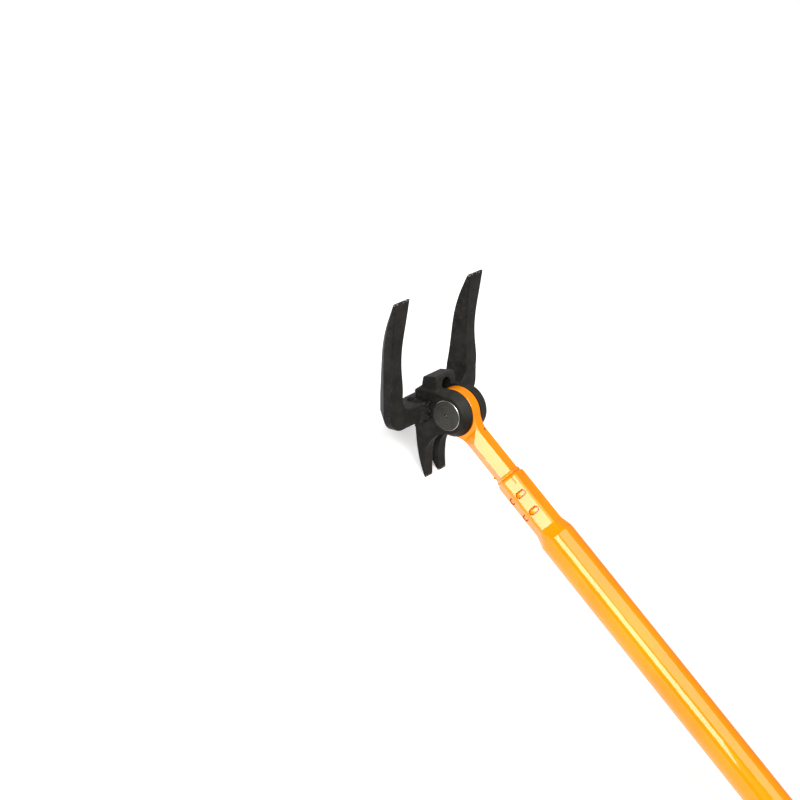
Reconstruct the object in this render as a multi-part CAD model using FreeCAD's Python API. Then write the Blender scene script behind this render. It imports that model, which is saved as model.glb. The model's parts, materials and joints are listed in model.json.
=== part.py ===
import FreeCAD, Part
import math
import os

from FreeCAD import Vector

# Pivoting forked pry head on a long tubular handle.
#
# Two working frames share one origin, the centre of the pivot pin.
#   Head frame:   x to the front of the head, y along the pin, z up the tines.
#   Handle frame: x along the handle to its far end, y along the pin, z up.
# Both are turned about the pin into the resting pose, where the tool stands on
# its claw tips and on the rim of the end cap, and are then moved so that the
# origin is the centre of the footprint, at floor level.

# Driving dimensions, millimetres and degrees.

HEAD_LEAN = 41.27  # head frame against handle frame, about the pin

PIN_RADIUS = 14.0
PIN_HALF_LENGTH = 17.0
PIN_CHAMFER = 0.8
CENTRE_HOLE_RADIUS = 1.6
CENTRE_HOLE_DEPTH = 2.0

RUNNING_FIT = 0.05  # radial, bush and washers on the pin
BUSH_RADIUS = 16.0
EYE_RADIUS = 22.0
EYE_HALF_THICKNESS = 5.8
WASHER_RADIUS = 19.0
WASHER_THICKNESS = 0.85

CHEEK_OUTER = 16.3  # half width over the cheeks
CHEEK_INNER = 6.85  # half width of the slot between them
LOBE_RADIUS = 22.0
CHEEK_DRAFT = 5.0  # how much the left cheek's rim draws in towards its outer face
SLOT_RADIUS = 23.0  # root of the slot, clear of the turning eye
BODY_BACK = -36.0
BODY_BOTTOM = -17.5
BODY_BEVEL = 3.0  # right top edge and back corners
SLOPE_FRONT = -29.0  # the top of the body slopes off behind this
SLOPE_FOOT = 16.4
LEDGE_HALF = 13.1  # the bevel beside the bridge starts here
LEDGE_FOOT = 18.6
LEDGE_FRONT = -13.0  # from here forward the bevel widens into the drafted rim
EDGE_ROUND = 1.0

BRIDGE_FRONT = -12.3
BRIDGE_BACK = -27.4
BRIDGE_TOP_FRONT = 32.8
BRIDGE_TOP_BACK = 30.8
BRIDGE_FOOT = 16.0  # inside the body
BRIDGE_LEFT = -13.9
BRIDGE_RIGHT = 14.6
BRIDGE_SIDE_DRAFT = 0.3
BRIDGE_END_DRAFT = 2.2
BRIDGE_ROUND = 1.8
BRIDGE_WALL = 3.4  # behind the arch
ARCH_ROOF = 29.4

CLAW_HALF_WIDTH = 16.2
CLAW_TIP_X = -21.6
CLAW_TIP_Z = -63.6
CLAW_TIP_THICKNESS = 0.8
NAIL_SLIT = 1.6  # half width of the slot at the back of the prongs
NAIL_SLOT_END = -31.0
NAIL_BEVEL = 0.7  # widening per millimetre from the root of the bevel to the front
NAIL_ROOT_TIP = -26.9  # where the bevel starts, at the tips and at the round end
NAIL_ROOT_END = -25.5
NAIL_FRONT = -13.0

LOCK_RADIUS = 2.0
LOCK_BORE = 1.2
LOCK_SLIT = 0.8
LOCK_Y = 9.0
LOCK_TOP = -10.0
LOCK_BOTTOM = -21.2

ARM_TOP = 8.8
ARM_BOTTOM = -8.2
CROOK_RADIUS = 13.0  # inside the bend between a tine's arm and its column
HEEL_RADIUS = 16.5  # outside it
OUTER_FACE = 9.0  # depth of the tine's outer face before its long bevel
TINE_ROUND = 1.4

WELD_FOOT = (-15.6, -40.0, 12.4, -12.0)  # front, back, top, bottom on the cheek
WELD_REACH = 8.5

BAR_FLATS = 19.0
BAR_END = 135.0
NECK_RADIUS = 26.0
RAMP_START = 25.0
RAMP_END = 35.0

TUBE_RADIUS = 16.85
TUBE_WALL = 3.0
TUBE_FLATS = 24.6
TUBE_CORNER = 3.5
TUBE_MOUTH = 76.0
LIP_LENGTH = 2.6
LIP_DROP = 3.2
HEX_END = 131.5
SHOULDER_END = 143.0
TUBE_END = 1040.0
MOUTH_WELD_START = 73.0

PLUG_LENGTH = 6.0  # along the handle
PLUG_WIDTH = 10.0  # across it
PLUG_CENTRES = (95.0, 113.5)
PLUG_FACES = (-30.0, 30.0, 150.0, 210.0)  # turned about the bar from +y
PLUG_RECESS = 1.0

GRIP_START = 880.0
GRIP_RADIUS = 18.8
GRIP_RIB_RADIUS = 19.6
GRIP_RIBS = 18
GRIP_COLLAR = 12.0

CAP_RADIUS = 20.0
CAP_LENGTH = 10.0
CAP_ROUND = 2.0
PLUG_DEPTH = 25.0

ORIGIN = Vector(0, 0, 0)
AXIS_X = Vector(1, 0, 0)
AXIS_Y = Vector(0, 1, 0)
AXIS_Z = Vector(0, 0, 1)


# Small makers.


def box(x0, x1, y0, y1, z0, z1):
    return Part.makeBox(x1 - x0, y1 - y0, z1 - z0, Vector(x0, y0, z0))


def rod_y(radius, half_length):
    return Part.makeCylinder(radius, 2 * half_length, Vector(0, -half_length, 0), AXIS_Y)


def rod_x(radius, x0, x1, y=0.0, z=0.0):
    return Part.makeCylinder(radius, x1 - x0, Vector(x0, y, z), AXIS_X)


def polygon(points):
    return Part.makePolygon(list(points) + [points[0]])


def prism_y(wire, half_width):
    """Solid of a closed x-z outline, centred on the plane y = 0."""
    face = Part.Face(wire)
    face.translate(Vector(0, -half_width, 0))
    return face.extrude(Vector(0, 2 * half_width, 0))


def mirror_y(shape):
    return shape.mirror(ORIGIN, AXIS_Y)


def rounded_wire(corners, radius):
    """Closed wire through the corners, each one rounded by an arc."""
    edges = []
    count = len(corners)
    joints = []
    for index, corner in enumerate(corners):
        back = (corners[index - 1] - corner).normalize()
        ahead = (corners[(index + 1) % count] - corner).normalize()
        half_angle = back.getAngle(ahead) / 2
        reach = radius / math.tan(half_angle)
        middle = (back + ahead).normalize()
        depth = radius / math.sin(half_angle) - radius
        joints.append((corner + back * reach, corner + middle * depth, corner + ahead * reach))
    for index, (start, middle, end) in enumerate(joints):
        following = joints[(index + 1) % count][0]
        edges.append(Part.Arc(start, middle, end).toShape())
        edges.append(Part.LineSegment(end, following).toShape())
    return Part.Wire(edges)


def edges_where(shape, test):
    return [edge for edge in shape.Edges if test(edge)]


# Head.


def lobe_pair():
    """The round ends of both cheeks as one turned solid, slot not yet cut."""
    outline = [
        Vector(0, -CHEEK_OUTER, 0),
        Vector(LOBE_RADIUS - CHEEK_DRAFT, -CHEEK_OUTER, 0),
        Vector(LOBE_RADIUS, -CHEEK_INNER, 0),
        Vector(LOBE_RADIUS, CHEEK_OUTER, 0),
        Vector(0, CHEEK_OUTER, 0),
    ]
    solid = Part.Face(polygon(outline)).revolve(ORIGIN, AXIS_Y, 360)
    rims = edges_where(solid, lambda edge: edge.Closed and abs(edge.CenterOfMass.y) > CHEEK_OUTER - 0.1)
    return solid.makeFillet(EDGE_ROUND, rims)


def back_block():
    """Solid root of the cheeks. Its left edge runs from a bevel into the rim of the lobe."""
    block = box(BODY_BACK, 0, -CHEEK_OUTER, CHEEK_OUTER, BODY_BOTTOM, LOBE_RADIUS)

    def is_bevelled(edge):
        middle = edge.CenterOfMass
        right_top = middle.y > CHEEK_OUTER - 0.1 and middle.z > LOBE_RADIUS - 0.1
        back_side = middle.x < BODY_BACK + 0.1 and abs(middle.y) > CHEEK_OUTER - 0.1
        return right_top or back_side

    block = block.makeChamfer(BODY_BEVEL, edges_where(block, is_bevelled))

    def above_left_edge(x, inner, foot):
        outside = -CHEEK_OUTER - 1
        return polygon([
            Vector(x, -inner, LOBE_RADIUS),
            Vector(x, -CHEEK_OUTER, foot),
            Vector(x, outside, foot),
            Vector(x, outside, LOBE_RADIUS + 1),
            Vector(x, -inner, LOBE_RADIUS + 1),
        ])

    behind = above_left_edge(BODY_BACK - 1, LEDGE_HALF, LEDGE_FOOT)
    middle = above_left_edge(LEDGE_FRONT, LEDGE_HALF, LEDGE_FOOT)
    lobe = above_left_edge(0.0, CHEEK_INNER, LOBE_RADIUS - CHEEK_DRAFT)
    ledge = Part.makeLoft([behind, middle], True, True)
    rim = Part.makeLoft([middle, lobe], True, True)
    slope = prism_y(polygon([
        Vector(SLOPE_FRONT, 0, LOBE_RADIUS),
        Vector(BODY_BACK, 0, SLOPE_FOOT),
        Vector(BODY_BACK - 1, 0, SLOPE_FOOT),
        Vector(BODY_BACK - 1, 0, LOBE_RADIUS + 1),
        Vector(SLOPE_FRONT, 0, LOBE_RADIUS + 1),
    ]), CHEEK_OUTER + 1)
    return block.cut([ledge, rim, slope])


def rear_boss():
    """Step at the back that takes the full depth of the tine arms."""
    back = TINE_STATIONS[0][2]
    outline = [
        Vector(-30.0, 0, BODY_BOTTOM + 3),
        Vector(BODY_BACK + 1, 0, BODY_BOTTOM + 3),
        Vector(back, 0, 1.0),
        Vector(back, 0, ARM_TOP),
        Vector(-30.0, 0, ARM_TOP),
    ]
    return prism_y(rounded_wire(outline, EDGE_ROUND), CHEEK_OUTER)


def striking_bridge():
    """Drafted block over the slot, with a flat top to strike on."""
    def ring(grow_x, grow_y, front_z, back_z):
        front = BRIDGE_FRONT + grow_x
        back = BRIDGE_BACK - grow_x
        left = BRIDGE_LEFT - grow_y
        right = BRIDGE_RIGHT + grow_y
        return polygon([
            Vector(front, left, front_z),
            Vector(front, right, front_z),
            Vector(back, right, back_z),
            Vector(back, left, back_z),
        ])

    top = ring(0, 0, BRIDGE_TOP_FRONT, BRIDGE_TOP_BACK)
    foot = ring(BRIDGE_END_DRAFT, BRIDGE_SIDE_DRAFT, BRIDGE_FOOT, BRIDGE_FOOT)
    block = Part.makeLoft([foot, top], True, True)
    upper = edges_where(block, lambda edge: edge.CenterOfMass.z > BRIDGE_FOOT + 1)
    return block.makeFillet(BRIDGE_ROUND, upper)


def claw_blank():
    """Both prongs as one tapered, slightly curved blade, slot not yet cut."""
    back = [
        Vector(-33.0, 0, BODY_BOTTOM + 4),
        Vector(-32.7, 0, -19.0),
        Vector(-30.5, 0, -37.5),
        Vector(-28.0, 0, -48.5),
        Vector(CLAW_TIP_X - CLAW_TIP_THICKNESS, 0, CLAW_TIP_Z),
    ]
    tip = Vector(CLAW_TIP_X, 0, CLAW_TIP_Z)
    hollow = Vector(-22.4, 0, -50.0)
    arc_start = Vector(-21.4, 0, -37.0)
    arc_middle = Vector(-16.8, 0, -27.4)
    arc_end = Vector(-6.5, 0, -19.4)
    inside = Vector(-6.5, 0, -12.0)
    curve = Part.BSplineCurve()
    curve.interpolate(back[1:])
    edges = [
        Part.LineSegment(back[0], back[1]).toShape(),
        curve.toShape(),
        Part.LineSegment(back[-1], tip).toShape(),
        Part.Arc(tip, hollow, arc_start).toShape(),
        Part.Arc(arc_start, arc_middle, arc_end).toShape(),
        Part.LineSegment(arc_end, inside).toShape(),
        Part.LineSegment(inside, back[0]).toShape(),
    ]
    return prism_y(Part.Wire(edges), CLAW_HALF_WIDTH)


def clevis_slot():
    """Room for the eye between the cheeks, and the arched pocket under the bridge."""
    sweep = rod_y(SLOT_RADIUS, CHEEK_INNER)
    open_front = box(0, 40, -CHEEK_INNER, CHEEK_INNER, -SLOT_RADIUS, SLOT_RADIUS)
    open_top = box(BRIDGE_FRONT + 1.5, 12, -CHEEK_INNER, CHEEK_INNER, 10, 45)
    pocket_back = BRIDGE_BACK + BRIDGE_WALL
    arch_centre = ARCH_ROOF - CHEEK_INNER
    arch = rod_x(CHEEK_INNER, pocket_back, 0, z=arch_centre)
    legs = box(pocket_back, 0, -CHEEK_INNER, CHEEK_INNER, 8, arch_centre)
    return sweep.fuse([open_front, open_top, arch, legs])


def nail_slot():
    """Slot between the prongs, bevelled from the front so that a nail's head wedges in it."""
    low = CLAW_TIP_Z - 5
    slit = box(-60, 0, -NAIL_SLIT, NAIL_SLIT, low, NAIL_SLOT_END)
    slit_end = rod_x(NAIL_SLIT, -60, 0, z=NAIL_SLOT_END)

    def half_front(root):
        return NAIL_SLIT + NAIL_BEVEL * (NAIL_FRONT - root)

    def section(root, height):
        return polygon([
            Vector(root, -NAIL_SLIT, height),
            Vector(root, NAIL_SLIT, height),
            Vector(NAIL_FRONT, half_front(root), height),
            Vector(NAIL_FRONT, -half_front(root), height),
        ])

    sections = [section(NAIL_ROOT_TIP, low), section(NAIL_ROOT_END, NAIL_SLOT_END)]
    bevel = Part.makeLoft(sections, True, True)
    length = NAIL_FRONT - NAIL_ROOT_END
    foot = Vector(NAIL_ROOT_END, 0, NAIL_SLOT_END)
    bevel_end = Part.makeCone(NAIL_SLIT, half_front(NAIL_ROOT_END), length, foot, AXIS_X)
    return slit.fuse([slit_end, bevel, bevel_end])


def lock_hole():
    length = LOCK_TOP - LOCK_BOTTOM + 4
    return Part.makeCylinder(LOCK_RADIUS, length, Vector(0, LOCK_Y, LOCK_BOTTOM - 4), AXIS_Z)


def head_body():
    blank = lobe_pair().fuse([back_block(), rear_boss(), striking_bridge(), claw_blank()])
    bore = rod_y(PIN_RADIUS, CHEEK_OUTER + 5)
    body = blank.cut([clevis_slot(), nail_slot(), bore, lock_hole()])
    return body.removeSplitter()


def pivot_pin():
    edge = PIN_RADIUS - PIN_CHAMFER
    full = PIN_HALF_LENGTH - PIN_CHAMFER
    dimple = PIN_HALF_LENGTH - CENTRE_HOLE_DEPTH
    outline = [
        Vector(0, -dimple, 0),
        Vector(CENTRE_HOLE_RADIUS, -PIN_HALF_LENGTH, 0),
        Vector(edge, -PIN_HALF_LENGTH, 0),
        Vector(PIN_RADIUS, -full, 0),
        Vector(PIN_RADIUS, full, 0),
        Vector(edge, PIN_HALF_LENGTH, 0),
        Vector(CENTRE_HOLE_RADIUS, PIN_HALF_LENGTH, 0),
        Vector(0, dimple, 0),
    ]
    pin = Part.Face(polygon(outline)).revolve(ORIGIN, AXIS_Y, 360)
    return pin.cut(lock_hole().common(box(-9, 9, 0, 30, -40, LOCK_TOP)))


def pin_lock():
    """Rolled spring pin, driven up through one cheek into the pivot pin."""
    length = LOCK_TOP - LOCK_BOTTOM
    foot = Vector(0, LOCK_Y, LOCK_BOTTOM)
    outer = Part.makeCylinder(LOCK_RADIUS, length, foot, AXIS_Z)
    inner = Part.makeCylinder(LOCK_BORE, length, foot, AXIS_Z)
    half_slit = LOCK_SLIT / 2
    slit = box(0, 5, LOCK_Y - half_slit, LOCK_Y + half_slit, LOCK_BOTTOM, LOCK_TOP)
    return outer.cut([inner, slit])


def thrust_washer():
    """Friction washer beside the eye, on the +y cheek."""
    ring = rod_y(WASHER_RADIUS, CHEEK_INNER).cut(rod_y(PIN_RADIUS, CHEEK_INNER))
    start = CHEEK_INNER - WASHER_THICKNESS
    return ring.common(box(-30, 30, start, CHEEK_INNER, -30, 30))


# Tines. Each is an L-shaped forging of nearly constant section: an arm out from
# the cheek, a round heel, and a column that tapers and flares to a chisel edge.
# Stations up the column: height, front, back, inner side, outer side.

TINE_STATIONS = (
    (ARM_TOP + CROOK_RADIUS, -22.7, -45.0, 50.0, 67.0),
    (44.0, -23.4, -41.6, 50.1, 66.2),
    (65.0, -23.5, -38.9, 49.9, 65.4),
    (85.0, -21.5, -33.4, 48.3, 66.5),
    (99.0, -19.6, -27.5, 47.6, 67.2),
    (111.5, -18.8, -20.8, 46.2, 68.8),
)


def long_bevel(depth):
    """Size of the bevel behind the outer face, for a tine of this depth."""
    return depth - min(OUTER_FACE, 0.62 * depth)


def column_wire(height, front, back, inner, outer):
    depth = front - back
    bevel = long_bevel(depth)
    corners = [
        Vector(front, inner, height),
        Vector(front, outer, height),
        Vector(back + bevel, outer, height),
        Vector(back, outer - bevel, height),
        Vector(back, inner, height),
    ]
    return rounded_wire(corners, min(TINE_ROUND, 0.14 * depth))


def elbow():
    """Arm and heel in one piece, up to where the column begins."""
    height, front, back, inner, outer = TINE_STATIONS[0]
    crook_y = inner - CROOK_RADIUS
    heel_y = outer - HEEL_RADIUS
    heel_z = ARM_BOTTOM + HEEL_RADIUS
    bend = math.sin(math.radians(45))

    def at(y, z):
        return Vector(back, y, z)

    crook_middle = at(crook_y + CROOK_RADIUS * bend, height - CROOK_RADIUS * bend)
    heel_middle = at(heel_y + HEEL_RADIUS * bend, heel_z - HEEL_RADIUS * bend)
    outline = Part.Wire([
        Part.LineSegment(at(CHEEK_OUTER, ARM_BOTTOM), at(CHEEK_OUTER, ARM_TOP)).toShape(),
        Part.LineSegment(at(CHEEK_OUTER, ARM_TOP), at(crook_y, ARM_TOP)).toShape(),
        Part.Arc(at(crook_y, ARM_TOP), crook_middle, at(inner, height)).toShape(),
        Part.LineSegment(at(inner, height), at(outer, height)).toShape(),
        Part.LineSegment(at(outer, height), at(outer, heel_z)).toShape(),
        Part.Arc(at(outer, heel_z), heel_middle, at(heel_y, ARM_BOTTOM)).toShape(),
        Part.LineSegment(at(heel_y, ARM_BOTTOM), at(CHEEK_OUTER, ARM_BOTTOM)).toShape(),
    ])
    plate = Part.Face(outline).extrude(Vector(front - back, 0, 0))

    def is_outer_back(edge):
        middle = edge.CenterOfMass
        behind = abs(middle.x - back) < 0.01
        beside = middle.y > outer - 6 and middle.z < height - 0.1
        below = middle.z < ARM_BOTTOM + 0.1
        return behind and (beside or below)

    plate = plate.makeChamfer(long_bevel(front - back), edges_where(plate, is_outer_back))

    def is_lengthwise(edge):
        middle = edge.CenterOfMass
        return middle.y > CHEEK_OUTER + 0.1 and middle.z < height - 0.1

    sharp = edges_where(plate, lambda edge: is_lengthwise(edge) and runs_along(edge))
    return plate.makeFillet(TINE_ROUND, sharp)


def runs_along(edge):
    """True for edges that follow the bar, false for those across its ends and joints."""
    first = edge.Vertexes[0].Point
    last = edge.Vertexes[-1].Point
    return abs(first.x - last.x) < 0.01


def tine():
    column = Part.makeLoft([column_wire(*station) for station in TINE_STATIONS], True, False)
    return elbow().fuse(column).removeSplitter()


def tine_weld(tine_shape):
    """Fillet weld round the front, top and underside of the arm's root."""
    front, back, top, bottom = WELD_FOOT
    foot = polygon([
        Vector(front, CHEEK_OUTER, bottom + 6),
        Vector(front, CHEEK_OUTER, top - 4),
        Vector(front - 5, CHEEK_OUTER, top),
        Vector(back, CHEEK_OUTER, top),
        Vector(back, CHEEK_OUTER, 2.0),
        Vector(-32.0, CHEEK_OUTER, bottom),
        Vector(front - 4, CHEEK_OUTER, bottom),
    ])
    arm_front = TINE_STATIONS[0][1]
    reach = CHEEK_OUTER + WELD_REACH
    crown = polygon([
        Vector(arm_front + 0.4, reach, ARM_BOTTOM + 2),
        Vector(arm_front + 0.4, reach, ARM_TOP - 2),
        Vector(arm_front - 2, reach, ARM_TOP + 0.4),
        Vector(back, reach, ARM_TOP + 0.4),
        Vector(back, reach, 2.6),
        Vector(-31.0, reach, ARM_BOTTOM - 0.4),
        Vector(arm_front - 2, reach, ARM_BOTTOM - 0.4),
    ])
    return Part.makeLoft([foot, crown], True, True).cut(tine_shape)


# Handle.


def hexagon(x, flats):
    """Corner points of a hexagon across the handle, two of them on the y axis."""
    radius = flats / math.sqrt(3)
    points = []
    for corner in range(6):
        angle = math.radians(60 * corner)
        points.append(Vector(x, radius * math.cos(angle), radius * math.sin(angle)))
    return points


def hex_bar(flats, x0, x1):
    return Part.Face(polygon(hexagon(x0, flats))).extrude(Vector(x1 - x0, 0, 0))


def eye_plate():
    """Flat eye, run out to the width of the bar by a hollow on each side."""
    half_bar = BAR_FLATS / 2
    reach = EYE_RADIUS + NECK_RADIUS
    centre_z = half_bar + NECK_RADIUS
    centre_x = math.sqrt(reach**2 - centre_z**2)
    start = Vector(centre_x, 0, centre_z) * (EYE_RADIUS / reach)
    lean = math.atan2(centre_x, centre_z) / 2
    middle_x = centre_x - NECK_RADIUS * math.sin(lean)
    middle_z = centre_z - NECK_RADIUS * math.cos(lean)
    middle = Vector(middle_x, 0, middle_z)
    end = Vector(centre_x, 0, half_bar)

    def flip(point):
        return Vector(point.x, 0, -point.z)

    edges = [
        Part.Arc(flip(start), Vector(-EYE_RADIUS, 0, 0), start).toShape(),
        Part.Arc(start, middle, end).toShape(),
        Part.LineSegment(end, flip(end)).toShape(),
        Part.Arc(flip(end), flip(middle), flip(start)).toShape(),
    ]
    plate = prism_y(Part.Wire(edges), EYE_HALF_THICKNESS)

    def is_rim(edge):
        middle = edge.CenterOfMass
        return abs(abs(middle.y) - EYE_HALF_THICKNESS) < 0.01 and middle.x < centre_x - 1

    return plate.makeFillet(EDGE_ROUND, edges_where(plate, is_rim))


def bar_ramps():
    """Material taken off both sides of the bar where it runs into the eye."""
    vertex = BAR_FLATS / math.sqrt(3)
    wedge = polygon([
        Vector(0, EYE_HALF_THICKNESS, -20),
        Vector(RAMP_START, EYE_HALF_THICKNESS, -20),
        Vector(RAMP_END, vertex, -20),
        Vector(RAMP_END, vertex + 5, -20),
        Vector(0, vertex + 5, -20),
    ])
    side = Part.Face(wedge).extrude(Vector(0, 0, 40))
    return side, mirror_y(side)


def eye_shank():
    bar = hex_bar(BAR_FLATS, RAMP_START - 4, BAR_END).cut(list(bar_ramps()))
    bore = rod_y(BUSH_RADIUS, EYE_HALF_THICKNESS + 1)
    return eye_plate().fuse(bar).cut(bore).removeSplitter()


def eye_bush():
    outer = rod_y(BUSH_RADIUS, EYE_HALF_THICKNESS)
    return outer.cut(rod_y(PIN_RADIUS + RUNNING_FIT, EYE_HALF_THICKNESS))


def tube_hexagon(x, flats):
    return rounded_wire(hexagon(x, flats), TUBE_CORNER)


def tube_circle(x, radius):
    """Circle in twelve arcs, matched one to one with the rounded hexagon."""
    hex_radius = TUBE_FLATS / math.sqrt(3)
    corner_half = math.degrees(math.atan2(TUBE_CORNER / 2, hex_radius - TUBE_CORNER * 0.155))

    def point(angle):
        turn = math.radians(angle)
        return Vector(x, radius * math.cos(turn), radius * math.sin(turn))

    edges = []
    for corner in range(6):
        middle = 60 * corner
        start, end, following = middle - corner_half, middle + corner_half, middle + 60 - corner_half
        edges.append(Part.Arc(point(start), point(middle), point(end)).toShape())
        edges.append(Part.Arc(point(end), point(middle + 30), point(following)).toShape())
    return Part.Wire(edges)


def plug_slot(x, face_angle, inner, outer):
    """Stadium across one face of the hexagon, between two depths."""
    half = PLUG_WIDTH / 2 - PLUG_LENGTH / 2
    ends = [
        Part.makeCylinder(PLUG_LENGTH / 2, outer - inner, Vector(x, inner, side * half), AXIS_Y)
        for side in (-1, 1)
    ]
    middle = box(x - PLUG_LENGTH / 2, x + PLUG_LENGTH / 2, inner, outer, -half, half)
    slot = middle.fuse(ends).removeSplitter()
    slot.rotate(ORIGIN, AXIS_X, face_angle)
    return slot


def plug_places():
    return [(x, angle) for x in PLUG_CENTRES for angle in PLUG_FACES]


def handle_tube():
    lip = Part.makeLoft([
        tube_hexagon(TUBE_MOUTH, TUBE_FLATS - LIP_DROP),
        tube_hexagon(TUBE_MOUTH + LIP_LENGTH * 0.35, TUBE_FLATS - LIP_DROP * 0.3),
        tube_hexagon(TUBE_MOUTH + LIP_LENGTH, TUBE_FLATS),
    ], True, True)
    formed = Part.Face(tube_hexagon(TUBE_MOUTH + LIP_LENGTH, TUBE_FLATS))
    formed = formed.extrude(Vector(HEX_END - TUBE_MOUTH - LIP_LENGTH, 0, 0))
    shoulder = Part.makeLoft(
        [tube_hexagon(HEX_END, TUBE_FLATS), tube_circle(SHOULDER_END, TUBE_RADIUS)], True, True
    )
    length = rod_x(TUBE_RADIUS, SHOULDER_END, TUBE_END)
    bore_radius = TUBE_RADIUS - TUBE_WALL
    socket = hex_bar(BAR_FLATS, TUBE_MOUTH - 1, BAR_END)
    flare = Part.makeCone(BAR_FLATS / 2, bore_radius, 8, Vector(BAR_END, 0, 0), AXIS_X)
    bore = rod_x(bore_radius, BAR_END + 8, TUBE_END + 1)
    slots = [
        plug_slot(x, angle, BAR_FLATS / 2 - 1, TUBE_FLATS) for x, angle in plug_places()
    ]
    return lip.fuse([formed, shoulder, length]).cut([socket, flare, bore] + slots)


def plug_welds():
    surface = TUBE_FLATS / 2 - PLUG_RECESS
    plugs = [plug_slot(x, angle, BAR_FLATS / 2, surface) for x, angle in plug_places()]
    return Part.makeCompound(plugs)


def mouth_weld():
    """Fillet weld between the bar and the mouth of the tube."""
    outer = Part.makeLoft([
        polygon(hexagon(MOUTH_WELD_START, BAR_FLATS + 0.6)),
        polygon(hexagon(TUBE_MOUTH, TUBE_FLATS - LIP_DROP - 0.2)),
    ], True, True)
    return outer.cut(hex_bar(BAR_FLATS, MOUTH_WELD_START - 1, TUBE_MOUTH + 1))


def grip_sleeve():
    """Ribbed rubber sleeve stretched over the end of the tube."""
    sleeve = rod_x(GRIP_RADIUS, GRIP_START, TUBE_END)
    ribbed = TUBE_END - GRIP_START - 2 * GRIP_COLLAR
    pitch = ribbed / GRIP_RIBS
    ribs = []
    for index in range(GRIP_RIBS):
        start = GRIP_START + GRIP_COLLAR + pitch * (index + 0.2)
        ribs.append(rod_x(GRIP_RIB_RADIUS, start, start + pitch * 0.6))
    collars = [
        rod_x(GRIP_RIB_RADIUS, GRIP_START, GRIP_START + GRIP_COLLAR * 0.6),
        rod_x(GRIP_RIB_RADIUS, TUBE_END - GRIP_COLLAR * 0.6, TUBE_END),
    ]
    whole = sleeve.fuse(ribs + collars).removeSplitter()
    return whole.cut(rod_x(TUBE_RADIUS, GRIP_START - 1, TUBE_END + 1))


def end_cap():
    """Moulded plug that closes the tube and stops the sleeve."""
    far_end = TUBE_END + CAP_LENGTH
    flange = rod_x(CAP_RADIUS, TUBE_END, far_end)
    rim = edges_where(flange, lambda edge: edge.Closed and edge.CenterOfMass.x > far_end - 0.01)
    flange = flange.makeFillet(CAP_ROUND, rim)
    stem = rod_x(TUBE_RADIUS - TUBE_WALL, TUBE_END - PLUG_DEPTH, TUBE_END)
    hollow = rod_x(TUBE_RADIUS - TUBE_WALL - 3, TUBE_END - PLUG_DEPTH, TUBE_END - 4)
    return flange.fuse(stem).cut(hollow).removeSplitter()


# Resting pose and output.


def handle_pitch():
    """Fall of the handle, in degrees, with claw tips and end cap on one level."""
    lean = math.radians(HEAD_LEAN)
    tip_x = CLAW_TIP_X * math.cos(lean) - CLAW_TIP_Z * math.sin(lean)
    tip_z = CLAW_TIP_X * math.sin(lean) + CLAW_TIP_Z * math.cos(lean)
    rim_x = TUBE_END + CAP_LENGTH - CAP_ROUND
    return math.degrees(math.atan2(-CAP_RADIUS - tip_z, rim_x - tip_x))


def build():
    right_tine = tine()
    right_weld = tine_weld(right_tine)
    right_washer = thrust_washer()
    head = {
        "head_body": head_body(),
        "pivot_pin": pivot_pin(),
        "pin_lock": pin_lock(),
        "right_thrust_washer": right_washer,
        "left_thrust_washer": mirror_y(right_washer),
        "right_tine": right_tine,
        "left_tine": mirror_y(right_tine),
        "right_tine_weld": right_weld,
        "left_tine_weld": mirror_y(right_weld),
    }
    handle = {
        "eye_shank": eye_shank(),
        "eye_bush": eye_bush(),
        "handle_tube": handle_tube(),
        "mouth_weld": mouth_weld(),
        "plug_welds": plug_welds(),
        "grip_sleeve": grip_sleeve(),
        "end_cap": end_cap(),
    }
    pitch = handle_pitch()
    for shape in handle.values():
        shape.rotate(ORIGIN, AXIS_Y, pitch)
    for shape in head.values():
        shape.rotate(ORIGIN, AXIS_Y, pitch - HEAD_LEAN)
    return {**head, **handle}


def main():
    os.makedirs("parts", exist_ok=True)
    nodes = build()
    bounds = Part.makeCompound(list(nodes.values())).optimalBoundingBox()
    shift = Vector(-bounds.Center.x, 0, -bounds.ZMin)
    print(f"pin centre at x {shift.x:.3f}, z {shift.z:.3f}; handle falls {handle_pitch():.3f} degrees")
    print(f"size {bounds.XLength:.1f} x {bounds.YLength:.1f} x {bounds.ZLength:.1f}")
    for name, shape in nodes.items():
        shape.translate(shift)
        shape.exportStep(f"parts/{name}.step")


main()
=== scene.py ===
import json
import math
import random

import bpy
from mathutils import Matrix, Vector


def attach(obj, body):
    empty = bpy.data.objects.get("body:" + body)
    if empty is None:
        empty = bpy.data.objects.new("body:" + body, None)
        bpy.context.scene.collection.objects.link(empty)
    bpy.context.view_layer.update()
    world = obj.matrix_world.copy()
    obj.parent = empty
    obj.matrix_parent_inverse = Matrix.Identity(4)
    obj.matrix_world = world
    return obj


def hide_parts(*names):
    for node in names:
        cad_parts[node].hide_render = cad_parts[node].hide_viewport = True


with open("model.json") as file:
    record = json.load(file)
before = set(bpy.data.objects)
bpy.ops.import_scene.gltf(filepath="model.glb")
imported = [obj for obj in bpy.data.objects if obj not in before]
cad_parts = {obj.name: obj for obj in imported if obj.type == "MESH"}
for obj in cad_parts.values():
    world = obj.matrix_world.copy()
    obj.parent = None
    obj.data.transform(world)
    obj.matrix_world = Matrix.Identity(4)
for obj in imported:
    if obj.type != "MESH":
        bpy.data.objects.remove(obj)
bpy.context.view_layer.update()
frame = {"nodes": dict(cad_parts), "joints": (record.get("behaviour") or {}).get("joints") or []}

# Floor, light and camera. A plain white floor that glows a little, like the sweep of a
# light table, a wide softbox beside the camera and a larger, dimmer one overhead.

FLOOR_SIZE = 40
CAMERA_OFFSET = (0.2902, -1.2333, 0.9317)  # from the pin
CAMERA_TURN = (45.08, -30.97, 42.42)  # degrees

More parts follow.
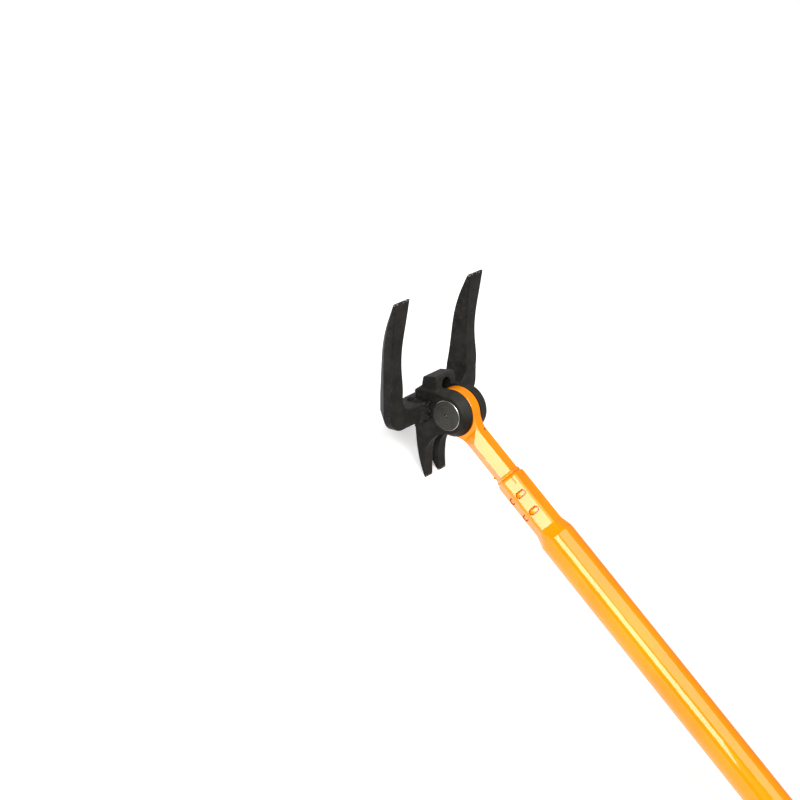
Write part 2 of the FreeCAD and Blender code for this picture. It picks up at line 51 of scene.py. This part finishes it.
pivot = Vector(frame["joints"][0]["pos_m"])


def deselect_all():
    if bpy.context.object and bpy.context.object.mode != "OBJECT":
        bpy.ops.object.mode_set(mode="OBJECT")
    bpy.ops.object.select_all(action="DESELECT")


deselect_all()
bpy.ops.mesh.primitive_plane_add(size=FLOOR_SIZE, location=(0, 0, 0))
floor = bpy.context.object
floor.name = "floor"
floor_paint = bpy.data.materials.new("studio_floor")
floor_paint.use_nodes = True
floor_shader = floor_paint.node_tree.nodes["Principled BSDF"]
floor_shader.inputs["Base Color"].default_value = (0.84, 0.835, 0.83, 1)
floor_shader.inputs["Roughness"].default_value = 0.9
floor_shader.inputs["Specular IOR Level"].default_value = 0.1
floor_shader.inputs["Emission Color"].default_value = (1, 1, 1, 1)
floor_shader.inputs["Emission Strength"].default_value = 0.3
floor.data.materials.append(floor_paint)


def softbox(name, offset, width, height, power):
    """Rectangular studio light aimed at the pivot."""
    light = bpy.data.lights.new(name, "AREA")
    light.shape = "RECTANGLE"
    light.size = width
    light.size_y = height
    light.energy = power
    lamp = bpy.data.objects.new(name, light)
    lamp.location = pivot + Vector(offset)
    lamp.rotation_euler = (-Vector(offset)).to_track_quat("-Z", "Y").to_euler()
    bpy.context.scene.collection.objects.link(lamp)


softbox("front_softbox", (0.1, -1.75, 1.16), 1.0, 0.93, 46)
softbox("overhead_softbox", (0.3, -0.25, 2.4), 2.4, 1.9, 70)

studio = bpy.data.worlds.new("studio")
studio.use_nodes = True
studio.node_tree.nodes["Background"].inputs["Color"].default_value = (1, 0.995, 0.985, 1)
studio.node_tree.nodes["Background"].inputs["Strength"].default_value = 0.22
bpy.context.scene.world = studio
bpy.context.scene.view_settings.view_transform = "Standard"

camera_data = bpy.data.cameras.new("camera")
camera_data.sensor_width = 36
camera_data.lens = 79.47
camera_data.clip_start = 0.01
camera = bpy.data.objects.new("camera", camera_data)
camera.location = pivot + Vector(CAMERA_OFFSET)
camera.rotation_euler = [math.radians(turn) for turn in CAMERA_TURN]
bpy.context.scene.collection.objects.link(camera)
bpy.context.scene.camera = camera

# Head: a forged clevis with its striking bridge and slotted claw, and two L-shaped
# tines welded to its cheeks. Forged steel under thin matt black paint, with the
# scale showing through as a fine grain and bare steel at the working edges.

HEAD_LEAN = math.radians(-38.915)  # turn of the head's own axes about the pin
TINE_TIP = 0.1115  # along the head's upward axis, metres from the pin
CLAW_TIP = -0.0636


class Wire:
    """A value on its way through a material. Arithmetic adds Math nodes; node() adds any other."""

    def __init__(self, socket):
        self.socket = socket

    def node(self, kind, inputs=(), output=0, **settings):
        made = self.socket.id_data.nodes.new("ShaderNode" + kind)
        for name, value in settings.items():
            setattr(made, name, value)
        for name, value in dict(inputs).items():
            if isinstance(value, Wire):
                made.id_data.links.new(value.socket, made.inputs[name])
            else:
                made.inputs[name].default_value = value
        return Wire(made.outputs[output])

    def math(self, operation, left, right):
        return self.node("Math", {0: left, 1: right}, operation=operation)

    def __add__(self, other):
        return self.math("ADD", self, other)

    def __mul__(self, other):
        return self.math("MULTIPLY", self, other)

    def __sub__(self, other):
        return self.math("SUBTRACT", self, other)

    def __rsub__(self, other):
        return self.math("SUBTRACT", other, self)

    def __pow__(self, other):
        return self.math("POWER", self, other)

    __radd__ = __add__
    __rmul__ = __mul__

    def sine(self):
        return self.node("Math", {0: self}, operation="SINE")

    def ramp(self, low, high):
        """0 below low, 1 above high, smooth in between. High may be the smaller one."""
        inputs = {"Value": self, "From Min": low, "From Max": high}
        return self.node("MapRange", inputs, interpolation_type="SMOOTHSTEP")

    def noise(self, scale, detail=2.0, roughness=0.5):
        inputs = {"Vector": self, "Scale": scale, "Detail": detail, "Roughness": roughness}
        return self.node("TexNoise", inputs)

    def turned_to(self, lean, axes):
        """The named coordinates from the pin centre, turned about the pin axis."""
        settings = {"Location": pivot, "Rotation": (0, lean, 0)}
        own = self.node("Mapping", {"Vector": self, **settings}, vector_type="TEXTURE")
        return [own.node("SeparateXYZ", {0: own}, output=axis) for axis in axes]

    def off_axis(self, lean, axes):
        """Distance from the pin centre in the plane of two turned axes."""
        first, second = self.turned_to(lean, axes)
        return (first ** 2 + second ** 2) ** 0.5

    def bump(self, strength, depth, normal=None):
        inputs = {"Height": self, "Strength": strength, "Distance": depth}
        if normal:
            inputs["Normal"] = normal
        return self.node("Bump", inputs)


def blend(amount, base, over):
    """Colour mix: base where amount is 0, over where it is 1."""
    colours = [(*c, 1) if isinstance(c, tuple) else c for c in (base, over)]
    return amount.node("Mix", {0: amount, 6: colours[0], 7: colours[1]}, output=2, data_type="RGBA")


def new_finish(name, **fixed):
    """A material, its shader with constant sockets set, and the object's coordinates."""
    material = bpy.data.materials.new(name)
    material.use_nodes = True
    shader = material.node_tree.nodes["Principled BSDF"]
    for socket, value in fixed.items():
        shader.inputs[socket.replace("_", " ")].default_value = value
    place = Wire(material.node_tree.nodes.new("ShaderNodeTexCoord").outputs["Object"])
    return material, shader, place


def feed(shader, wires):
    for name, wire in wires.items():
        shader.id_data.links.new(wire.socket, shader.inputs[name])


def soft_edge(place, radius):
    """The surface normal with corners rounded over, and how far a point is on an edge."""
    rounded = place.node("Bevel", {"Radius": radius}, samples=6)
    true = place.node("NewGeometry", output="Normal")
    facing = rounded.node("VectorMath", {0: rounded, 1: true}, output="Value", operation="DOT_PRODUCT")
    return rounded, 1 - facing


def black_forging(name, warmth, edge=0.0009):
    material, shader, place = new_finish(name, IOR=1.5, Specular_IOR_Level=0.13)
    [up] = place.turned_to(HEAD_LEAN, "Z")
    rounded, corner = soft_edge(place, edge)
    cloud = place.noise(85, 4, 0.62)
    grain = place.noise(900, 3, 0.6)
    scale_spots = place.noise(230, 2, 0.7)
    facing = place.node("TexCoord", output="Normal")
    upward = facing.node("SeparateXYZ", {0: facing}, output=2).ramp(0.35, 0.95)

    black = blend(cloud.ramp(0.35, 0.7), (0.0038, 0.0035, 0.0030), (0.0102, 0.0095, 0.0081))
    brown = blend(scale_spots.ramp(0.5, 0.72) * warmth, black, (0.024, 0.0195, 0.0155))
    # Faces turned up are made lighter and greyer: partly settled dust, partly a painted sheen for the light
    # those faces catch.
    dust_and_painted_sheen = blend(upward * (0.3 + 0.5 * cloud), brown, (0.031, 0.0318, 0.0275))
    rubbed = corner.ramp(0.02, 0.2) * grain.ramp(0.4, 0.62)
    worn = blend(rubbed * 0.4, dust_and_painted_sheen, (0.040, 0.038, 0.034))

    tine_end = up.ramp(TINE_TIP - 0.0022, TINE_TIP - 0.0002)
    claw_end = up.ramp(CLAW_TIP + 0.0045, CLAW_TIP + 0.0005) * 0.6
    chipped = (tine_end + claw_end) * place.noise(420, 2, 0.6).ramp(0.5, 0.6)
    bare = chipped.ramp(0.35, 0.7)
    feed(shader, {
        "Base Color": blend(bare, worn, (0.42, 0.41, 0.39)),
        "Metallic": bare * 0.9,
        "Roughness": 0.62 - 0.2 * rubbed + 0.12 * grain - 0.16 * cloud - 0.2 * bare,
        "Normal": (0.6 * grain + 0.5 * cloud + 0.6 * scale_spots).bump(0.5, 0.0004, rounded),
    })
    return material


body_black = black_forging("forged_black_body", 0.25)
tine_black = black_forging("forged_black_tine", 0.5, edge=0.0006)


def repaint(material, *names):
    """Gives CAD nodes a finish through their own material slots."""
    for name in names:
        for slot in frame["nodes"][name].material_slots:
            slot.material = material


repaint(body_black, "head_body")
repaint(tine_black, "right_tine", "left_tine")

# Tine welds. Each arm is welded to its cheek by hand with several short passes, so
# the bead is a row of overlapping puddles, thickest in front beside the pin.

MM = 0.001
ARM_RUN = 4.6  # width of the passes over and under the arm
FRONT_RUN = 5.6
PUDDLE_PITCH = 2.0
TINE_VOXEL = 0.00045
TINE_SMOOTHING = 9


def head_point(front, side, up):
    """A point given in millimetres on the head's own axes."""
    turned = Matrix.Rotation(HEAD_LEAN, 3, "Y") @ Vector((front, side, up))
    return pivot + turned * MM


def puddled_bead(name, puddles, voxel, smoothing):
    """Weld bead from overlapping flattened drops, each (centre, radii, turn matrix)."""
    deselect_all()
    for index, (centre, radii, turn) in enumerate(puddles):
        rotation = turn.to_euler()
        bpy.ops.mesh.primitive_uv_sphere_add(
            segments=18, ring_count=12, radius=1, location=centre, rotation=rotation, scale=radii
        )
        if index == 0:
            bead = bpy.context.object
            bead.name = name
            bpy.ops.object.transform_apply(location=True, rotation=True, scale=True)
            bpy.ops.object.mode_set(mode="EDIT")
    bpy.ops.object.mode_set(mode="OBJECT")
    melt = bead.modifiers.new("melt", "REMESH")
    melt.mode = "VOXEL"
    melt.voxel_size = voxel
    bpy.ops.object.modifier_apply(modifier="melt")
    settle = bead.modifiers.new("settle", "SMOOTH")
    settle.factor = 0.5
    settle.iterations = smoothing
    bpy.ops.object.modifier_apply(modifier="settle")
    bpy.ops.object.shade_smooth()
    return bead


def along_line(corners, pitch):
    """Points every pitch along a run of straight lines, with the direction at each."""
    for start, end in zip(corners, corners[1:]):
        run = end - start
        count = max(1, round(run.length / pitch))
        for step in range(count):
            yield start + run * (step / count), run.normalized()


def tine_bead(name, mirror, seed):
    chance = random.Random(seed)
    over = Vector((0, 0.35, 0.94))
    front = Vector((0.78, 0.62, 0))
    under = Vector((0, 0.37, -0.93))
    runs = [
        (Vector((-37.5, 19.4, 8.5)), Vector((-23.5, 19.4, 8.5)), over, ARM_RUN),
        (Vector((-21.8, 18.4, 7.2)), Vector((-21.8, 18.4, -7.2)), front, FRONT_RUN),
        (Vector((-23.5, 19.4, -8.3)), Vector((-31.0, 19.4, -8.3)), under, ARM_RUN),
    ]
    puddles = []
    for start, end, outward, width in runs:
        for point, run in along_line([start, end], PUDDLE_PITCH):
            size = chance.uniform(0.93, 1.07)
            shift = Vector([chance.uniform(-0.2, 0.2) for axis in range(3)])
            puddles.append((point + shift, run, outward, (width * size, 3.1, 2.5 * size)))
    blobs = (
        (-18.3, 19.0, 7.2, 2.1),
        (-16.9, 17.7, 1.6, 2.1),
        (-17.8, 18.6, -4.4, 2.3),
        (-16.9, 18.0, 10.0, 1.5),
    )
    for along, side, up, size in blobs:
        puddles.append((Vector((along, side, up)), Vector((0, 0, 1)), front, (size, size, 1.7)))
    made = []
    for place, run, outward, radii in puddles:
        flip = Vector((1, mirror, 1))
        place, run, outward = place * flip, run * flip, outward * flip
        across = run.cross(outward).normalized()
        lift = across.cross(run).normalized()
        turn = Matrix.Rotation(HEAD_LEAN, 3, "Y") @ Matrix((across, run, lift)).transposed()
        made.append((head_point(*place), [r * MM for r in radii], turn))
    bead = puddled_bead(name, made, TINE_VOXEL, TINE_SMOOTHING)
    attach(bead, "head")
    return bead


def black_weld():
    material, shader, place = new_finish("painted_weld", IOR=1.5, Specular_IOR_Level=0.14)
    grain = place.noise(1100, 2, 0.6)
    cloud = place.noise(160, 3, 0.6)
    soot = blend(cloud.ramp(0.35, 0.7), (0.0045, 0.0042, 0.0038), (0.0095, 0.0084, 0.0070))
    feed(shader, {
        "Base Color": soot,
        "Roughness": 0.5 + 0.14 * cloud - 0.1 * grain,
        "Normal": (grain + 0.6 * cloud).bump(0.3, 0.0002),
    })
    return material


weld_paint = black_weld()
for side, mirror, seed in (("right", 1, 5), ("left", -1, 11)):
    weld = tine_bead(side + "_tine_bead", mirror, seed)
    weld.data.materials.append(weld_paint)
    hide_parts(side + "_tine_weld")

# Pivot pin. A 28 mm turned steel pin, flush in both cheeks: a darkened face with
# the rings of the facing cut and a centre hole, and a bright chamfer at its rim.

PIN_RADIUS = 0.014


def turned_pin():
    material, shader, place = new_finish("turned_pin_steel")
    radius = place.off_axis(HEAD_LEAN, "XZ")
    rim = radius.ramp(PIN_RADIUS - 0.0006, PIN_RADIUS - 0.0003)
    stain = place.noise(160, 3, 0.6)
    rings = (radius * 9000 + stain * 1.6).sine()
    broad = (radius * 2300).sine()
    dark = blend(stain.ramp(0.3, 0.7), (0.016, 0.015, 0.0118), (0.029, 0.0275, 0.0215))
    ringed = blend(broad.ramp(-0.6, 1) * 0.35, dark, (0.046, 0.044, 0.036))
    feed(shader, {
        # The middle of the face is lightened as a painted highlight in the centre hole; the rim is the bare
        # steel of the chamfer.
        "Base Color": blend(rim + radius.ramp(0.0011, 0.0004) * 0.4, ringed, (0.42, 0.41, 0.385)),
        "Metallic": 0.55 + 0.45 * rim,
        "Roughness": 0.46 + 0.12 * stain - 0.16 * rim,
        "Normal": (rings * 0.5 + broad * 0.5 + stain).bump(0.25, 0.00012),
    })
    return material


repaint(turned_pin(), "pivot_pin")

# Small pivot parts. A rolled spring pin locks the pivot pin, and the eye turns on a
# bronze bush between two bronze washers.


def turned_metal(name, colour, roughness):
    material, shader, place = new_finish(name, Metallic=1.0)
    smear = place.noise(300, 3, 0.6)
    fine = place.noise(1800, 1, 0.5)
    dull = tuple(0.55 * part for part in colour)
    feed(shader, {
        "Base Color": blend(smear.ramp(0.3, 0.75), dull, colour),
        "Roughness": roughness + 0.2 * smear,
        "Normal": fine.bump(0.2, 0.0001),
    })
    return material


repaint(turned_metal("bearing_bronze", (0.62, 0.42, 0.18), 0.28), "eye_bush", "right_thrust_washer",
        "left_thrust_washer")
repaint(turned_metal("spring_steel", (0.36, 0.36, 0.37), 0.3), "pin_lock")

# Handle steelwork: the eye and its hexagonal shank, and the tube pressed round it.
# Orange enamel, sprayed thick, so it has a gloss coat and a slight orange peel.

HANDLE_FALL = math.radians(2.355)
CHIP = (29.2, 3.0, 10.2)  # a chip in the paint on top of the neck


def handle_point(along, side, up):
    """A point given in millimetres on the handle's own axes."""
    turned = Matrix.Rotation(HANDLE_FALL, 3, "Y") @ Vector((along, side, up))
    return pivot + turned * MM


def orange_enamel():
    material, shader, place = new_finish(
        "orange_enamel", IOR=1.5, Specular_IOR_Level=0.5, Specular_Tint=(1, 0.3, 0.08, 1),
        Coat_Weight=0.55, Coat_Roughness=0.035, Coat_IOR=1.5
    )
    rounded, corner = soft_edge(place, 0.0009)
    cloud = place.noise(24, 3, 0.5)
    peel = place.noise(330, 2, 0.5)
    fine_peel = place.noise(900, 1, 0.5)
    paint = blend(cloud.ramp(0.3, 0.7), (0.74, 0.205, 0.0), (0.77, 0.23, 0.0002))
    # Edges are darkened: partly thinner paint on the corners, partly painted shade for rounded edges turned
    # away from the light.
    thin_paint_and_edge_shade = blend(corner.ramp(0.02, 0.16) * 0.85, paint, (0.56, 0.088, 0.0004))
    # Ambient occlusion darkens creases and recesses, such as the grooves round the plug fills: painted
    # shade.
    crease = place.node("AmbientOcclusion", {"Distance": 0.0022}, output="AO", samples=6, only_local=False)
    crevice_shade = blend(crease.ramp(0.85, 0.45) * 0.85, thin_paint_and_edge_shade, (0.42, 0.07, 0.0004))
    grime = blend(place.noise(420, 3, 0.7).ramp(0.66, 0.8) * 0.25, crevice_shade, (0.45, 0.09, 0.003))
    away = place.node("VectorMath", {0: place, 1: handle_point(*CHIP)}, output="Value", operation="DISTANCE")
    chip = (away + 0.0006 * peel).ramp(0.0017, 0.0012)
    feed(shader, {
        "Base Color": blend(chip, grime, (0.03, 0.022, 0.016)),
        "Roughness": 0.13 + 0.1 * peel + 0.4 * chip,
        "Normal": (peel + 0.4 * fine_peel).bump(0.22, 0.00012, rounded),
    })
    return material


enamel = orange_enamel()
repaint(enamel, "eye_shank", "handle_tube")

# Tube mouth. The tube is welded to the shank all round its mouth and painted over. One
# run of paint has set on the upper flat, and one spatter ball stuck to the shank.

MOUTH = 74.6
BAR_FLATS = 19.0
MOUTH_PITCH = 1.5
MOUTH_VOXEL = 0.00022
MOUTH_SMOOTHING = 4


def mouth_bead():
    chance = random.Random(3)
    corner = BAR_FLATS / math.sqrt(3)
    turns = [math.radians(60 * k) for k in range(7)]
    corners = [Vector((MOUTH, corner * math.cos(turn), corner * math.sin(turn))) for turn in turns]
    forward = Vector((1, 0, 0))
    drops = []
    for point, run in along_line(corners, MOUTH_PITCH):
        size = chance.uniform(0.94, 1.08)
        place = point + forward * chance.uniform(-0.12, 0.12)
        drops.append((place, run.cross(forward), (1.8 * size, 1.5, 1.15 * size)))
    upper_flat = Vector((0, -0.866, 0.5))
    drops.append((Vector((81.5, -9.1, 8.6)), upper_flat, (4.2, 0.75, 0.55)))
    drops.append((Vector((68.4, -5.9, -9.4)), Vector((0, -0.5, -0.866)), (1.0, 0.9, 0.9)))
    puddles = []
    for place, out, radii in drops:
        turn = Matrix((forward, out.cross(forward), out)).transposed()
        turn = Matrix.Rotation(HANDLE_FALL, 3, "Y") @ turn
        puddles.append((handle_point(*place), [r * MM for r in radii], turn))
    return puddled_bead("mouth_weld_bead", puddles, MOUTH_VOXEL, MOUTH_SMOOTHING)


mouth = mouth_bead()
mouth.data.materials.append(enamel)
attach(mouth, "handle")
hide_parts("mouth_weld")

# Plug welds. Eight slots in the flats of the tube are filled with weld metal from
# outside; each fill stands a little below the flat, its middle raised inside a groove.

TUBE_FLATS = 24.6
PLUG_DEPTH = 1.1
PLUG_RADIUS = 2.95
PLUG_THICKNESS = 2.2
PLUG_STRETCH = 4.0
PLUG_STATIONS = (95.0, 113.5)
PLUG_FLATS = (-30, 30, 150, 210)  # degrees round the tube


def select_only(piece, parts, wanted):
    """Leaves the piece in edit mode with only the wanted vertices or polygons selected."""
    bpy.ops.object.mode_set(mode="EDIT")
    bpy.ops.mesh.select_all(action="DESELECT")
    bpy.ops.object.mode_set(mode="OBJECT")
    for part in getattr(piece.data, parts):
        part.select = wanted(part)
    bpy.ops.object.mode_set(mode="EDIT")


def set_on_handle(piece, stand=Matrix.Identity(4)):
    """Takes a piece modelled in millimetres about the handle's axis to its place."""
    deselect_all()
    piece.select_set(True)
    bpy.context.view_layer.objects.active = piece
    fall = Matrix.Rotation(HANDLE_FALL, 4, "Y")
    piece.matrix_world = Matrix.Translation(pivot) @ fall @ Matrix.Scale(MM, 4) @ stand
    bpy.ops.object.transform_apply(location=True, rotation=True, scale=True)


def plug_fill():
    """One fill, a disc stretched along Y, with a raised middle inside a groove."""
    deselect_all()
    bpy.ops.mesh.primitive_cylinder_add(
        vertices=24, radius=PLUG_RADIUS, depth=PLUG_THICKNESS, location=(0, 0, 0)
    )
    fill = bpy.context.object
    select_only(fill, "vertices", lambda vertex: vertex.co.y > 0.01)
    bpy.ops.transform.translate(value=(0, PLUG_STRETCH, 0))
    select_only(fill, "polygons", lambda face: face.normal.z > 0.9)
    for thickness, depth in ((0.5, 0.05), (0.55, 0.5), (0.35, 0.08)):
        bpy.ops.mesh.inset(thickness=thickness, depth=depth)
    bpy.ops.object.mode_set(mode="OBJECT")
    return fill


pattern = plug_fill()
fills = []
for along in PLUG_STATIONS:
    for flat in PLUG_FLATS:
        fill = pattern.copy()
        fill.data = pattern.data.copy()
        bpy.context.scene.collection.objects.link(fill)
        lift = TUBE_FLATS / 2 - PLUG_DEPTH - PLUG_THICKNESS / 2
        seat = Matrix.Translation((along, -PLUG_STRETCH / 2, lift))
        set_on_handle(fill, Matrix.Rotation(math.radians(flat - 90), 4, "X") @ seat)
        fills.append(fill)
bpy.data.objects.remove(pattern)

deselect_all()
for fill in fills:
    fill.select_set(True)
bpy.context.view_layer.objects.active = fills[0]
bpy.ops.object.join()
plugs = bpy.context.object
plugs.name = "plug_weld_fills"
bpy.ops.object.shade_smooth_by_angle(angle=math.radians(22))
plugs.data.materials.append(enamel)
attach(plugs, "handle")
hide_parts("plug_welds")

# Grip. A moulded rubber sleeve stretched over the end of the tube, with a plain
# collar at each end and rounded ribs between them.

GRIP = (880.0, 1040.0)
GRIP_BORE = 16.85
RIB_COUNT = 18
TURNED_STEPS = 72


def turned_piece(name, outline):
    """Round piece about the handle's axis, spun from an outline of (along, radius) in millimetres."""
    deselect_all()
    bpy.ops.mesh.primitive_plane_add(size=1, location=(0, 0, 0))
    piece = bpy.context.object
    piece.name = name
    bpy.ops.object.mode_set(mode="EDIT")
    bpy.ops.mesh.merge(type="CENTER")
    along, radius = outline[0]
    bpy.ops.transform.translate(value=(along, 0, radius))
    for (old_along, old_radius), (along, radius) in zip(outline, outline[1:]):
        step = (along - old_along, 0, radius - old_radius)
        bpy.ops.mesh.extrude_region_move(TRANSFORM_OT_translate={"value": step})
    bpy.ops.mesh.select_all(action="SELECT")
    bpy.ops.mesh.spin(steps=TURNED_STEPS, angle=math.tau, center=(0, 0, 0), axis=(1, 0, 0))
    bpy.ops.mesh.select_all(action="SELECT")
    bpy.ops.mesh.remove_doubles(threshold=0.001)
    bpy.ops.mesh.normals_make_consistent(inside=False)
    bpy.ops.object.mode_set(mode="OBJECT")
    set_on_handle(piece)
    bpy.ops.object.shade_smooth_by_angle(angle=math.radians(40))
    return piece


RIB = (
    (0.1, 18.3), (0.2, 18.7), (0.3, 19.25), (0.42, 19.55),
    (0.6, 19.55), (0.72, 19.25), (0.82, 18.7), (0.92, 18.3),
)  # share of the pitch, radius


def grip_outline():
    start, end = GRIP
    outline = [
        (start + 0.2, GRIP_BORE), (start, 17.6), (start, 18.9), (start + 0.5, 19.4),
        (start + 1.2, 19.6), (start + 6.8, 19.6), (start + 7.6, 19.3), (start + 8.2, 18.6),
        (start + 9.4, 18.3),
    ]
    first, last = start + 12, end - 12
    pitch = (last - first) / RIB_COUNT
    for rib in range(RIB_COUNT):
        foot = first + pitch * rib
        outline += [(foot + pitch * share, radius) for share, radius in RIB]
    outline += [
        (end - 9.4, 18.3), (end - 8.2, 18.6), (end - 7.6, 19.3), (end - 6.8, 19.6),
        (end - 1.0, 19.6), (end - 0.4, 19.45), (end - 0.1, 19.0), (end - 0.1, GRIP_BORE),
        (start + 0.2, GRIP_BORE),
    ]
    return outline


def grip_rubber():
    material, shader, place = new_finish("grip_rubber", IOR=1.5, Specular_IOR_Level=0.35)
    radius = place.off_axis(HANDLE_FALL, "YZ")
    groove = radius.ramp(0.0191, 0.0184)
    cloud = place.noise(60, 4, 0.6)
    grain = place.noise(1500, 2, 0.6)
    rubber = blend(cloud.ramp(0.3, 0.7), (0.014, 0.014, 0.0145), (0.023, 0.0225, 0.022))
    feed(shader, {
        "Base Color": blend(groove * cloud.ramp(0.3, 0.8) * 0.6, rubber, (0.07, 0.064, 0.055)),
        "Roughness": 0.62 + 0.22 * groove + 0.12 * cloud,
        "Normal": (grain + cloud).bump(0.3, 0.0002),
    })
    return material


grip = turned_piece("ribbed_grip", grip_outline())
grip.data.materials.append(grip_rubber())
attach(grip, "handle")
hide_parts("grip_sleeve")

# End cap. A moulded black plastic plug driven into the tube, domed, with a raised
# rim that takes the knocks when the bar is stood down.

CAP_START = 1040.0
CAP_OUTLINE = (
    (-24, 10.8), (-25, 11.4), (-25, 13.2), (-24.2, 13.8), (-0.6, 13.85), (0, 14.2), (0, 19.2),
    (0.25, 19.75), (0.8, 20), (7.4, 20), (8.6, 19.7), (9.5, 18.9), (9.95, 17.8), (10, 16.8),
    (9.7, 16.0), (9.0, 15.6), (8.7, 15.2), (8.9, 14.6), (9.4, 12.5), (9.75, 9.0), (9.9, 5.0),
    (9.85, 3.2), (9.5, 2.8), (9.2, 2.2), (9.15, 0.0),
)  # past the start, radius


def cap_plastic():
    material, shader, place = new_finish("cap_plastic", IOR=1.46, Specular_IOR_Level=0.45)
    radius = place.off_axis(HANDLE_FALL, "YZ")
    scuff = radius.ramp(0.0186, 0.0197) * place.noise(240, 4, 0.7).ramp(0.45, 0.62)
    stipple = place.noise(1700, 2, 0.6)
    cloud = place.noise(90, 3, 0.6)
    plastic = blend(cloud, (0.014, 0.014, 0.015), (0.022, 0.022, 0.023))
    feed(shader, {
        "Base Color": blend(scuff * 0.7, plastic, (0.10, 0.098, 0.094)),
        "Roughness": 0.42 + 0.1 * cloud + 0.25 * scuff,
        "Normal": (stipple + 0.8 * scuff).bump(0.25, 0.00015),
    })
    return material


cap_outline = [(CAP_START + along, radius) for along, radius in CAP_OUTLINE]
cap = turned_piece("moulded_end_cap", cap_outline)
cap.data.materials.append(cap_plastic())
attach(cap, "handle")
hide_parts("end_cap")
